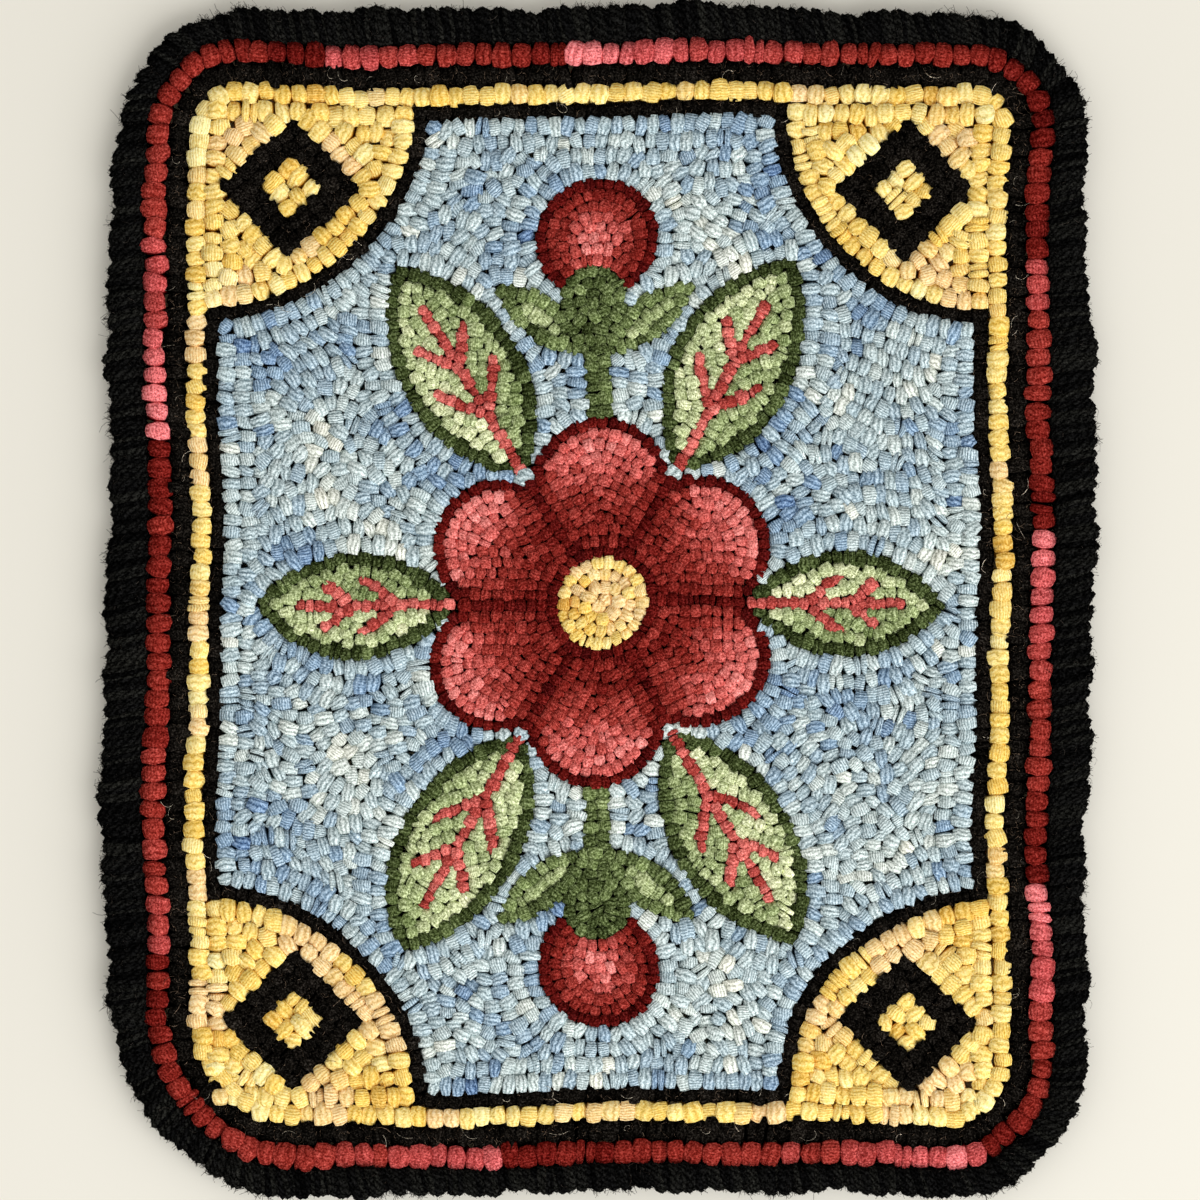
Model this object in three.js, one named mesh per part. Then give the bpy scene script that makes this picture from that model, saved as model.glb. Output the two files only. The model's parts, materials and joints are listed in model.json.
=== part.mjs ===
import * as THREE from "three";

// A hooked rug lying flat with its pile up: strips of wool pulled through a linen foundation in rows of loops,
// and an edge whipped with black yarn over a cord.
// Millimetres: x across the rug, y up it, z out of the pile, with the underside at z = 0.

// Left between neighbouring pieces
const GAP = 0.3;

// Half the width and half the height of the hooked area, inside the whipping
const HALF_WIDTH = 115.6;
const HALF_HEIGHT = 143.4;

// Corners of the hooked area in the order they are met going round to the left from the top right, with the width of
// the whipping at the middle of each, and a quarter and three quarters of the way along the side that follows
const CORNERS = [
  { x: 1, y: 1, radius: 21.4, whipping: 7.4, nearQuarter: 8.9, farQuarter: 9.5 },
  { x: -1, y: 1, radius: 23, whipping: 7.2, nearQuarter: 9.6, farQuarter: 11.4 },
  { x: -1, y: -1, radius: 36.5, whipping: 8.2, nearQuarter: 7.2, farQuarter: 7.2 },
  { x: 1, y: -1, radius: 28.3, whipping: 8.2, nearQuarter: 9.8, farQuarter: 11.7 },
];

const LINEN_THICKNESS = 1.2;
const PILE_FOOT = LINEN_THICKNESS + GAP;

// Border rows, outermost first: where each starts, measured in from the edge of the hooked area, and its width and
// height above the underside
const RED_ROW = { start: 0, width: 6, height: 7 };
const BLACK_ROW = { start: RED_ROW.width, width: 5, height: 6.3 };
const YELLOW_ROW = { start: BLACK_ROW.start + BLACK_ROW.width, width: 4.7, height: 6.7 };
const INNER_BLACK_ROW = { width: 3.4, height: 6.2 };
const GROUND_HEIGHT = 6.6;

// The yellow border swells into a quarter round in each corner of the blue ground
const FRAME_INSET = YELLOW_ROW.start + YELLOW_ROW.width;
const QUARTER_ROUND = 52;

// How far apart stations are set along a plain row, along the beaded red row (two to a loop) and along the whipping
const ROW_STEP = 16;
const RED_LOOP = 4.7;
const WHIPPING_STEP = 6;
const FEWEST_AT_CORNER = 12;

// The loops turn over at each edge of a row: how far in the turn reaches, and where it starts as a share of the pile
const SHOULDER = 1.3;
const SHOULDER_UP = 0.75;

// The whipping's cut face: yarn round a cord, flattened where it lies on the floor
const WHIPPING_HEIGHT = 8.5;
const WHIPPING_SECTION = [
  { across: 0.1, up: 0 },
  { across: 0, up: 0.32 },
  { across: 0.07, up: 0.72 },
  { across: 0.32, up: 1 },
  { across: 0.66, up: 1 },
  { across: 0.93, up: 0.76 },
  { across: 1, up: 0.4 },
  { across: 1, up: 0 },
];

// Uneven clumps of yarn along the whipping: how many go round the rug, how far they stand out, and where they start
const CLUMPS = [
  { count: 11, depth: 0.35, start: 0.4 },
  { count: 37, depth: 0.4, start: 2.1 },
  { count: 61, depth: 0.35, start: 5.2 },
];

// Low swells in the blue ground: length across and up the rug, and height
const SWELLS = [
  { across: 47, up: 39, rise: 0.2 },
  { across: 21, up: 27, rise: 0.15 },
];
const GROUND_RINGS = [0.97, 0.82, 0.66, 0.5, 0.34, 0.17];

// How many stations each corner and each following side gets, always even so that a loop has its own pair
function stationsRound(step) {
  const even = (length) => 2 * Math.round(length / step / 2);
  return CORNERS.map((corner, i) => {
    const next = CORNERS[(i + 1) % CORNERS.length];
    const half = corner.x === next.x ? HALF_HEIGHT : HALF_WIDTH;
    return {
      corner: Math.max(FEWEST_AT_CORNER, even((corner.radius * Math.PI) / 2)),
      side: even(2 * half - corner.radius - next.radius),
    };
  });
}

function arc(centre, radius, from, to, steps) {
  return Array.from({ length: steps + 1 }, (_, i) => {
    const angle = THREE.MathUtils.lerp(from, to, i / steps);
    return new THREE.Vector2(Math.cos(angle), Math.sin(angle)).multiplyScalar(radius).add(centre);
  });
}

// Closes four corner arcs into one line with straight sides
function withSides(arcs, stations) {
  return arcs.flatMap((points, i) => {
    const from = points.at(-1);
    const to = arcs[(i + 1) % arcs.length][0];
    const steps = stations[i].side;
    const side = Array.from({ length: steps - 1 }, (_, k) => from.clone().lerp(to, (k + 1) / steps));
    return [...points, ...side];
  });
}

// The edge of the hooked area, moved in by an inset, or out by a negative one
function borderLine(inset, stations) {
  const arcs = CORNERS.map(({ x, y, radius }, i) => {
    const centre = new THREE.Vector2(x * (HALF_WIDTH - radius), y * (HALF_HEIGHT - radius));
    const from = (i * Math.PI) / 2;
    return arc(centre, radius - inset, from, from + Math.PI / 2, stations[i].corner);
  });
  return withSides(arcs, stations);
}

// The edge of the blue ground, with a quarter round scooped out of each corner, moved in by an inset
function scoopedLine(inset, stations) {
  const radius = QUARTER_ROUND + inset;
  const turn = Math.asin(inset / radius);
  const arcs = CORNERS.map(({ x, y }, i) => {
    const centre = new THREE.Vector2(x * (HALF_WIDTH - FRAME_INSET), y * (HALF_HEIGHT - FRAME_INSET));
    const from = ((i + 3) * Math.PI) / 2 - turn;
    return arc(centre, radius, from, from - Math.PI / 2 + 2 * turn, stations[i].corner);
  });
  return withSides(arcs, stations);
}

function solid(points, index) {
  const geometry = new THREE.BufferGeometry().setFromPoints(points);
  geometry.setIndex(index);
  geometry.computeVertexNormals();
  return geometry;
}

// Two faces for each cell of a grid of points: stations going round, columns going up and over
function gridFaces(stations, columns, closed) {
  const index = [];
  const last = closed ? columns : columns - 1;
  for (let i = 0; i < stations; i++) {
    const next = (i + 1) % stations;
    for (let j = 0; j < last; j++) {
      const above = (j + 1) % columns;
      const [a, b] = [i * columns + j, next * columns + j];
      const [c, d] = [next * columns + above, i * columns + above];
      index.push(a, b, c, a, c, d);
    }
  }
  return index;
}

// A closed ring between two lines. sectionAt gives each station's cut face, from the foot of the outer line over the
// top to the foot of the inner one: a share of the way across, and a height.
function ringBetween(outer, inner, sectionAt) {
  const points = [];
  outer.forEach((start, i) => {
    for (const { across, z } of sectionAt(i)) {
      const p = start.clone().lerp(inner[i], across);
      points.push(new THREE.Vector3(p.x, p.y, z));
    }
  });
  const columns = points.length / outer.length;
  return solid(points, gridFaces(outer.length, columns, true));
}

// A closed panel from rings of points that go from its underside over its rim to its top, round one middle
function panelOver(rings) {
  const stations = rings[0].length;
  const columns = rings.length;
  const points = rings[0].flatMap((_, i) => rings.map((ring) => ring[i]));
  const index = gridFaces(stations, columns, false);
  const middle = (ring) => new THREE.Vector3(0, 0, ring[0].z);
  points.push(middle(rings[0]), middle(rings.at(-1)));
  const [under, over] = [points.length - 2, points.length - 1];
  for (let i = 0; i < stations; i++) {
    const next = (i + 1) % stations;
    index.push(under, next * columns, i * columns);
    index.push(over, i * columns + columns - 1, next * columns + columns - 1);
  }
  return solid(points, index);
}

const atHeight = (line, z) => line.map((p) => new THREE.Vector3(p.x, p.y, z));

function linenFoundation() {
  const line = borderLine(0, stationsRound(ROW_STEP));
  return panelOver([atHeight(line, 0), atHeight(line, LINEN_THICKNESS)]);
}

// A row of loops whose crown dips between each loop and the next by dip, a share of the pile's height
function rowOfLoops(outer, inner, height, dip = 0) {
  return ringBetween(outer, inner, (i) => {
    const crown = (height - PILE_FOOT) * (i % 2 ? 1 : 1 - dip);
    const turn = SHOULDER / outer[i].distanceTo(inner[i]);
    const section = [
      { across: 0, up: 0 },
      { across: 0, up: SHOULDER_UP },
      { across: turn, up: 1 },
      { across: 1 - turn, up: 1 },
      { across: 1, up: SHOULDER_UP },
      { across: 1, up: 0 },
    ];
    return section.map(({ across, up }) => ({ across, z: PILE_FOOT + up * crown }));
  });
}

function borderRow({ start, width, height }, step, dip) {
  const stations = stationsRound(step);
  return rowOfLoops(borderLine(start, stations), borderLine(start + width - GAP, stations), height, dip);
}

function yellowBorder() {
  const stations = stationsRound(ROW_STEP);
  return rowOfLoops(borderLine(YELLOW_ROW.start, stations), scoopedLine(0, stations), YELLOW_ROW.height);
}

function innerBlackRow() {
  const stations = stationsRound(ROW_STEP);
  const { width, height } = INNER_BLACK_ROW;
  return rowOfLoops(scoopedLine(GAP, stations), scoopedLine(width, stations), height);
}

function swell(x, y) {
  return SWELLS.reduce((sum, { across, up, rise }) => {
    return sum + rise * Math.sin((2 * Math.PI * x) / across) * Math.cos((2 * Math.PI * y) / up);
  }, 0);
}

function blueGround() {
  const stations = stationsRound(ROW_STEP);
  const rim = scoopedLine(INNER_BLACK_ROW.width + GAP, stations);
  const swollen = (scale) => rim.map((p) => {
    const [x, y] = [p.x * scale, p.y * scale];
    return new THREE.Vector3(x, y, GROUND_HEIGHT + swell(x, y));
  });
  const shoulder = PILE_FOOT + SHOULDER_UP * (GROUND_HEIGHT - PILE_FOOT);
  return panelOver([atHeight(rim, PILE_FOOT), atHeight(rim, shoulder), ...GROUND_RINGS.map(swollen)]);
}

// Width of the whipping at every station, run evenly from each measured place to the next
function whippingWidths(stations) {
  const places = CORNERS.flatMap(({ whipping, nearQuarter, farQuarter }, i) => {
    const next = CORNERS[(i + 1) % CORNERS.length];
    const { corner, side } = stations[i];
    const toMiddle = stations[(i + 1) % stations.length].corner / 2;
    return [
      { from: whipping, to: nearQuarter, steps: corner / 2 + Math.floor(side / 4) },
      { from: nearQuarter, to: farQuarter, steps: side - 2 * Math.floor(side / 4) },
      { from: farQuarter, to: next.whipping, steps: Math.floor(side / 4) + toMiddle },
    ];
  });
  const widths = places.flatMap(({ from, to, steps }) => {
    return Array.from({ length: steps }, (_, k) => THREE.MathUtils.lerp(from, to, k / steps));
  });
  // The first place is the middle of the first corner, and the stations start at the beginning of it
  const lead = stations[0].corner / 2;
  return [...widths.slice(-lead), ...widths.slice(0, -lead)];
}

function clumpsAt(turn) {
  return CLUMPS.reduce((sum, { count, depth, start }) => {
    return sum + depth * Math.sin(2 * Math.PI * count * turn + start);
  }, 0);
}

function whippedEdge() {
  const stations = stationsRound(WHIPPING_STEP);
  const inner = borderLine(-GAP, stations);
  const oneOut = borderLine(-GAP - 1, stations);
  const outer = whippingWidths(stations).map((width, i) => {
    const outward = oneOut[i].clone().sub(inner[i]);
    return inner[i].clone().addScaledVector(outward, width - GAP + clumpsAt(i / inner.length));
  });
  return ringBetween(outer, inner, (i) => {
    const height = WHIPPING_HEIGHT + clumpsAt(i / inner.length) / 2;
    return WHIPPING_SECTION.map(({ across, up }) => ({ across, z: up * height }));
  });
}

const RED_DIP = 0.16;

// Name, shape, colour and roughness of each piece, from the floor up and from the edge in
const PIECES = [
  { name: "linen_foundation", shape: linenFoundation(), color: 0xc9bd9d, roughness: 0.95 },
  { name: "whipped_edge", shape: whippedEdge(), color: 0x14130f, roughness: 0.9 },
  { name: "red_row", shape: borderRow(RED_ROW, RED_LOOP / 2, RED_DIP), color: 0x8c2a26, roughness: 0.92 },
  { name: "black_row", shape: borderRow(BLACK_ROW, ROW_STEP), color: 0x17130f, roughness: 0.92 },
  { name: "yellow_border", shape: yellowBorder(), color: 0xe3bf62, roughness: 0.92 },
  { name: "inner_black_row", shape: innerBlackRow(), color: 0x17130f, roughness: 0.92 },
  { name: "blue_ground", shape: blueGround(), color: 0x9bb3c4, roughness: 0.92 },
];

const rug = new THREE.Group();
for (const { name, shape, color, roughness } of PIECES) {
  const mesh = new THREE.Mesh(shape, new THREE.MeshStandardMaterial({ color, roughness, metalness: 0 }));
  mesh.name = name;
  rug.add(mesh);
}

// The whipping is wider on some sides than on others, so the whole rug is moved to lie centred on the origin
const middle = new THREE.Box3().setFromObject(rug).getCenter(new THREE.Vector3());
rug.position.set(-middle.x, -middle.y, 0);

export default rug;
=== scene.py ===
import json
import math

import bpy
import numpy as np
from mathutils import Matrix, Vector, kdtree

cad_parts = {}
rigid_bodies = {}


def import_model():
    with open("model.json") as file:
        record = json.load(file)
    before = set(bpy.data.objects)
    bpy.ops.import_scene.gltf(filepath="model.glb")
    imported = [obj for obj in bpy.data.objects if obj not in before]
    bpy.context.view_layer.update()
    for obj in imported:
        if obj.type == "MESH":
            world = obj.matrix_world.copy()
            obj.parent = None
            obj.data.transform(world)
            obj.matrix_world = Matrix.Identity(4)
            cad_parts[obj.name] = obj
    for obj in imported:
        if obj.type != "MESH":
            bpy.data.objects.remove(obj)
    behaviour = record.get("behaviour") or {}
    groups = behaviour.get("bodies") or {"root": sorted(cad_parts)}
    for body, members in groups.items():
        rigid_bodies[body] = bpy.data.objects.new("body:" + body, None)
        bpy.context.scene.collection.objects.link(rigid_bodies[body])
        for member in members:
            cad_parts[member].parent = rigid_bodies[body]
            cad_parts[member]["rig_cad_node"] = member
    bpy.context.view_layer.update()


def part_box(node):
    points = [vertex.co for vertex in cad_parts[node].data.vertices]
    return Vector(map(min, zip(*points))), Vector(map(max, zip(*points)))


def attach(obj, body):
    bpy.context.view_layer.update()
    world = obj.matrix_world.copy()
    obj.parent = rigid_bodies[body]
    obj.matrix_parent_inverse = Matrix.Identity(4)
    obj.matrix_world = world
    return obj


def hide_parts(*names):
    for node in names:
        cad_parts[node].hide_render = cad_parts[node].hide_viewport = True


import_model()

# Camera
# The rug is seen from straight above and fills the picture from top to bottom. The lens is long, so that the
# loops at the edges are seen from above too. The rug's lengths are millimetres until a mesh is made.
MM = 0.001
PICTURE_WIDTH = 306
CAMERA_HEIGHT = 1100
SENSOR = 36
PILE_TOP = 6.5


def new_object(name, data):
    made = bpy.data.objects.new(name, data)
    bpy.context.scene.collection.objects.link(made)
    return made


camera_data = bpy.data.cameras.new("camera")
camera_data.sensor_width = SENSOR
camera_data.lens = SENSOR * (CAMERA_HEIGHT - PILE_TOP) / PICTURE_WIDTH
camera_data.clip_start = 0.01
camera_data.clip_end = 20
camera = new_object("camera", camera_data)
camera.location = (0, 0, CAMERA_HEIGHT * MM)
bpy.context.scene.camera = camera

# Linen foundation
# One piece of even-weave linen that every strip is hooked through. Its edge is turned inside the whipping,
# and the rest shows only at the back, between the flat stitches.
LINEN_THICKNESS = 0.5
LINEN_UNDERSIDE = 0.85
LINEN_INTO_WHIPPING = 3
LINEN_THREAD = 0.72
LINEN_FUZZ = 2.5
LINEN_COLOUR = (201, 189, 157)
# The painted shade of the linen where its threads sink
LINEN_PAINTED_SHADE = (150, 136, 104)
CORNER_RADII = {(1, 1): 21.4, (-1, 1): 23, (-1, -1): 36.5, (1, -1): 28.3}
CORNER_PARTS = 12
POINTS_IN_AN_ARC = 60
POINTS_IN_A_MM = 4

linen_low, linen_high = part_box("linen_foundation")
middle = (linen_low + linen_high) / 2
half_width, half_height = ((linen_high - linen_low) / 2 / MM)[:2]


def linear(*channels):
    """A colour as Blender mixes it, from the 0 to 255 numbers that a screen shows."""
    shown = np.array(channels, float) / 255
    return np.where(shown <= 0.04045, shown / 12.92, ((shown + 0.055) / 1.055) ** 2.4)


def fill_in(tree, sockets, values):
    """Links or sets sockets, by number or by name."""
    for name, value in values.items():
        if isinstance(value, bpy.types.NodeSocket):
            tree.links.new(value, sockets[name])
        elif value is not None:
            sockets[name].default_value = value


def node(tree, kind, settings, *numbered, **named):
    """Adds a shader node with its settings, and links or sets its inputs by number or by name."""
    made = tree.nodes.new("ShaderNode" + kind)
    for name, value in settings.items():
        setattr(made, name, value)
    fill_in(tree, made.inputs, dict(enumerate(numbered)))
    fill_in(tree, made.inputs, {name.replace("_", " "): value for name, value in named.items()})
    return made.outputs


def worked_out(tree, kind, *values):
    """A Math node's result."""
    return node(tree, "Math", {"operation": kind}, *values)[0]


def scaled(tree, vector, by):
    return node(tree, "VectorMath", {"operation": "SCALE"}, vector, Scale=by)[0]


def ranged(tree, value, low, high):
    """A value from 0 to 1, moved to run from low to high."""
    return node(tree, "MapRange", {}, Value=value, To_Min=low, To_Max=high)["Result"]


def new_group(name, inputs, outputs):
    """An empty node group on a position, with values for its other inputs."""
    tree = bpy.data.node_groups.new(name, "ShaderNodeTree")
    tree.interface.new_socket("Position", in_out="INPUT", socket_type="NodeSocketVector")
    for label, value in inputs.items():
        socket = tree.interface.new_socket(label, in_out="INPUT", socket_type="NodeSocketFloat")
        socket.default_value = value
    for label in outputs:
        tree.interface.new_socket(label, in_out="OUTPUT", socket_type="NodeSocketFloat")
    return tree, tree.nodes.new("NodeGroupInput").outputs, tree.nodes.new("NodeGroupOutput").inputs


def cloth_threads():
    """Two sets of crossing threads on a position in millimetres. Grain says which set stands out."""
    tree, given, out = new_group("cloth threads", {"Thread": 0.6, "Grain": 0.5, "Wander": 0.7}, ["Height"])
    wander = node(tree, "TexNoise", {}, Vector=given["Position"], Scale=1.1, Detail=1.0)["Color"]
    centred = node(tree, "VectorMath", {"operation": "SUBTRACT"}, wander, (0.5, 0.5, 0.5))[0]
    moved = scaled(tree, centred, given["Wander"])
    place = node(tree, "VectorMath", {"operation": "ADD"}, given["Position"], moved)[0]
    axes = node(tree, "SeparateXYZ", {}, place)
    per_thread = worked_out(tree, "DIVIDE", math.pi, given["Thread"])
    across, along = (
        worked_out(tree, "ABSOLUTE", worked_out(tree, "SINE", worked_out(tree, "MULTIPLY", axis, per_thread)))
        for axis in axes[:2]
    )
    height = node(tree, "Mix", {}, Factor=given["Grain"], A=along, B=across)["Result"]
    tree.links.new(height, out["Height"])
    return tree


def wool_nap():
    """The felted nap of wool on a position in millimetres: its height, and a slow mottling of the dye."""
    tree, given, out = new_group("wool nap", {"Fineness": 4.0}, ["Height", "Mottle"])
    place = given["Position"]
    nap = node(tree, "TexNoise", {}, Vector=place, Scale=given["Fineness"], Detail=2.0, Roughness=0.7)
    mottle = node(tree, "TexNoise", {}, Vector=place, Scale=0.42, Detail=2.0, Roughness=0.6)
    height = node(tree, "MapRange", {}, Value=nap["Fac"], From_Min=0.36, From_Max=0.64)["Result"]
    fill_in(tree, out, {"Height": height, "Mottle": mottle["Fac"]})
    return tree


THREADS = cloth_threads()
NAP = wool_nap()


def from_group(tree, group, **values):
    """A node group's results for these inputs."""
    return node(tree, "Group", {"node_tree": group}, **values)


def new_material(name):
    """A new material, its node tree and its shader."""
    material = bpy.data.materials.new(name)
    material.use_nodes = True
    return material, material.node_tree, material.node_tree.nodes["Principled BSDF"]


def place_on_rug(tree):
    """The place on the rug, in millimetres."""
    return scaled(tree, node(tree, "TexCoord", {})["Object"], 1 / MM)


def bumped(tree, height, strength, distance):
    """The normal of a surface with this height."""
    return node(tree, "Bump", {}, Strength=strength, Distance=distance * MM, Height=height)[0]


def linen_cloth():
    """Plain-woven natural linen, its colour painted darker where its threads sink: painted shade."""
    material, tree, shader = new_material("natural linen")
    place = place_on_rug(tree)
    threads = from_group(tree, THREADS, Position=place, Thread=LINEN_THREAD, Grain=0.5)["Height"]
    nap = from_group(tree, NAP, Position=place, Fineness=LINEN_FUZZ)
    # A Mix node's sixth and seventh inputs are its two colours
    # Painted shade: the linen is darker where its threads sink
    shades = [(*linear(*shade), 1) for shade in (LINEN_PAINTED_SHADE, LINEN_COLOUR)]
    colour = node(tree, "Mix", {"data_type": "RGBA"}, threads, *[None] * 5, *shades)[2]
    height = worked_out(tree, "MULTIPLY_ADD", nap["Height"], 0.3, threads)
    fill_in(tree, shader.inputs, {
        "Base Color": colour,
        "Roughness": ranged(tree, nap["Mottle"], 0.85, 0.98),
        "Normal": bumped(tree, height, 0.8, 0.15),
    })
    return material


def deselect_all():
    bpy.ops.object.select_all(action="DESELECT")


def switch_to(mode):
    bpy.ops.object.mode_set(mode=mode)


def fit(piece, material, slot, *nodes):
    """Gives a piece its material, and its place on the rug instead of these CAD nodes."""
    piece.data.materials.append(material)
    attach(piece, "root")
    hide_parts(*nodes)


def edge_line(inset):
    """The edge of the hooked area moved in by an inset: evenly spaced points that go round anticlockwise."""
    arcs = []
    for i, (side_x, side_y) in enumerate([(1, 1), (-1, 1), (-1, -1), (1, -1)]):
        radius = CORNER_RADII[side_x, side_y]
        angle = np.linspace(i, i + 1, POINTS_IN_AN_ARC) * math.pi / 2
        x = side_x * (half_width - radius) + (radius - inset) * np.cos(angle)
        y = side_y * (half_height - radius) + (radius - inset) * np.sin(angle)
        arcs.append(np.stack([x, y], 1))
    corners = np.concatenate([*arcs, arcs[0][:1]])
    reach = np.concatenate([[0], np.cumsum(np.hypot(*np.diff(corners, axis=0).T))])
    even = np.linspace(0, reach[-1], round(reach[-1] * POINTS_IN_A_MM), endpoint=False)
    return np.stack([np.interp(even, reach, side) for side in corners.T], 1), reach[-1]


def at_distance(line, length, distance):
    """The points at these distances along a closed line, and the direction that it runs in there."""
    place = distance / (length / len(line))
    before = np.floor(place).astype(int)
    share = (place - before)[:, None]
    points = line[before % len(line)] * (1 - share) + line[(before + 1) % len(line)] * share
    ahead = line[(before + POINTS_IN_A_MM) % len(line)] - line[(before - POINTS_IN_A_MM) % len(line)]
    return points, np.arctan2(ahead[:, 1], ahead[:, 0])


deselect_all()
bpy.ops.mesh.primitive_plane_add(size=1, location=middle)
linen = bpy.context.object
linen.name = linen.data.name = "linen"
linen.location.z = LINEN_UNDERSIDE * MM
linen_width = 2 * (half_width + LINEN_INTO_WHIPPING)
linen_height = 2 * (half_height + LINEN_INTO_WHIPPING)
linen.scale = (linen_width * MM, linen_height * MM, 1)
bpy.ops.object.transform_apply()
switch_to("EDIT")
bpy.ops.mesh.select_mode(type="VERT")
bpy.ops.mesh.select_all(action="DESELECT")
switch_to("OBJECT")
for (side_x, side_y), radius in CORNER_RADII.items():
    for vertex in linen.data.vertices:
        x, y, _ = vertex.co - middle
        vertex.select = x * side_x > half_width * MM and y * side_y > half_height * MM
    switch_to("EDIT")
    rounding = (radius + LINEN_INTO_WHIPPING) * MM
    bpy.ops.mesh.bevel(affect="VERTICES", offset=rounding, segments=CORNER_PARTS)
    bpy.ops.mesh.select_all(action="DESELECT")
    switch_to("OBJECT")
thicken = linen.modifiers.new("thickness", "SOLIDIFY")
thicken.thickness = LINEN_THICKNESS * MM
thicken.offset = 1
bpy.ops.object.modifier_apply(modifier="thickness")
fit(linen, linen_cloth(), "linen", "linen_foundation")

# The wool strips
# Every loop is a strip of fulled wool, cut along its grain and pulled up through one hole of the linen. It
# rounds over at its top, and its two legs fill the room between its neighbours. One is made and copied.
STRIP_WIDTH = 4
STRIP_THICKNESS = 1.15
LOOP_DEPTH = 3.3
LOOP_HEIGHT = 5.3
SQUARENESS = 0.4
WOOL_THREAD = 0.56
FOOT = 1.2
CROWDING = 1.12
LONGEST_LEAN = 2
SPLAYED_FEET = 0.2
WEAVE_ROOM = 40
STRIP_ENDS = {"share": 0.05, "apart": 0.27, "depth": 0.5}
# How uneven hooking by hand leaves a loop: shares of its size, its twist, and its lean, bow and curl in mm
UNEVEN = {
    "rank": 1, "width": 0.04, "depth": 0.06, "taper": 0.05, "lean": 0.12, "skew": 0.08, "bow": 0.16,
    "side_tilt": 0.045, "end_tilt": 0.05, "curl": 0.2, "roughness": 1, "twist": 0.1,
}
BY_RANK = 0.03
TALLER_BY_RANK = 0.22
USUAL_CURL = 0.3
ROUGH = 0.05
# Painted shade down each loop, darker and deeper in colour from its top to its foot between the loops, and
# the painted highlight added on its cut edges near the top
PAINTED_SHADE_UP_THE_LOOP = ([0, 0.8, 0.95], [0.4, 0.6, 1.05])
PAINTED_EDGE_HIGHLIGHT = {"beyond": 0.45, "above": 0.75, "by": 0.38}


class Shape:
    """The points and faces of a mesh that is modelled once and copied."""

    def __init__(self, piece, rounded=True):
        mesh = piece.data
        self.points = np.array([vertex.co for vertex in mesh.vertices])
        self.corners = np.array([i for face in mesh.polygons for i in face.vertices])
        self.sizes = np.array([len(face.vertices) for face in mesh.polygons])
        self.smooth = np.array([rounded or face.use_smooth for face in mesh.polygons])
        bpy.data.objects.remove(piece)
        bpy.data.meshes.remove(mesh)


def model_loop():
    """A strip's arch, modelled with a metre for each millimetre, then given as shares of its size."""
    radius = (LOOP_DEPTH - STRIP_THICKNESS) / 2
    leg = LOOP_HEIGHT - radius - STRIP_THICKNESS / 2
    widest = STRIP_WIDTH / 2 / math.sin(2 * math.pi / 5)
    deselect_all()
    # The strip's cut face has its outer side raised along the middle, and two sharp edges
    bpy.ops.mesh.primitive_circle_add(
        vertices=5, radius=widest, fill_type="NGON", location=(0, -radius, 0), rotation=(0, 0, math.pi)
    )
    bpy.ops.object.transform_apply()
    piece = bpy.context.object
    flatten = STRIP_THICKNESS / piece.dimensions.y
    switch_to("EDIT")
    bpy.ops.transform.resize(value=(1, flatten, 1), center_override=(0, -radius, 0))
    bpy.ops.mesh.extrude_region_move(TRANSFORM_OT_translate={"value": (0, 0, leg)})
    bpy.ops.mesh.spin(steps=6, angle=math.pi, center=(0, 0, leg), axis=(1, 0, 0))
    bpy.ops.mesh.extrude_region_move(TRANSFORM_OT_translate={"value": (0, 0, -leg)})
    bpy.ops.mesh.select_all(action="SELECT")
    bpy.ops.mesh.normals_make_consistent(inside=False)
    switch_to("OBJECT")
    for face in piece.data.polygons:
        beside = [abs(piece.data.vertices[i].co.x) for i in face.vertices]
        face.use_smooth = min(beside) < 0.01 and len(beside) == 4
    shape = Shape(piece, rounded=False)
    x, y, z = shape.points.T
    over = np.maximum(z - leg, 0)
    # How far each point is along the strip, for its weave
    up_or_down = np.where(y < 0, z, 2 * leg + 3 * radius - z)
    run = np.where(z > leg + 0.01, leg + radius * np.arctan2(over, -y), up_or_down)
    # The arch is pressed square by the loops beside it
    bend = np.arctan2(over, np.abs(y))
    out = np.hypot(y, over)
    y = np.sign(y) * out * np.cos(bend) ** SQUARENESS
    z = np.minimum(z, leg) + out * np.sin(bend) ** SQUARENESS * (over > 0)
    shape.points = np.stack([x / STRIP_WIDTH, y / LOOP_DEPTH, z / z.max()], 1)
    shape.weave = np.stack([x, run], 1)
    return shape


LOOP = model_loop()


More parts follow.
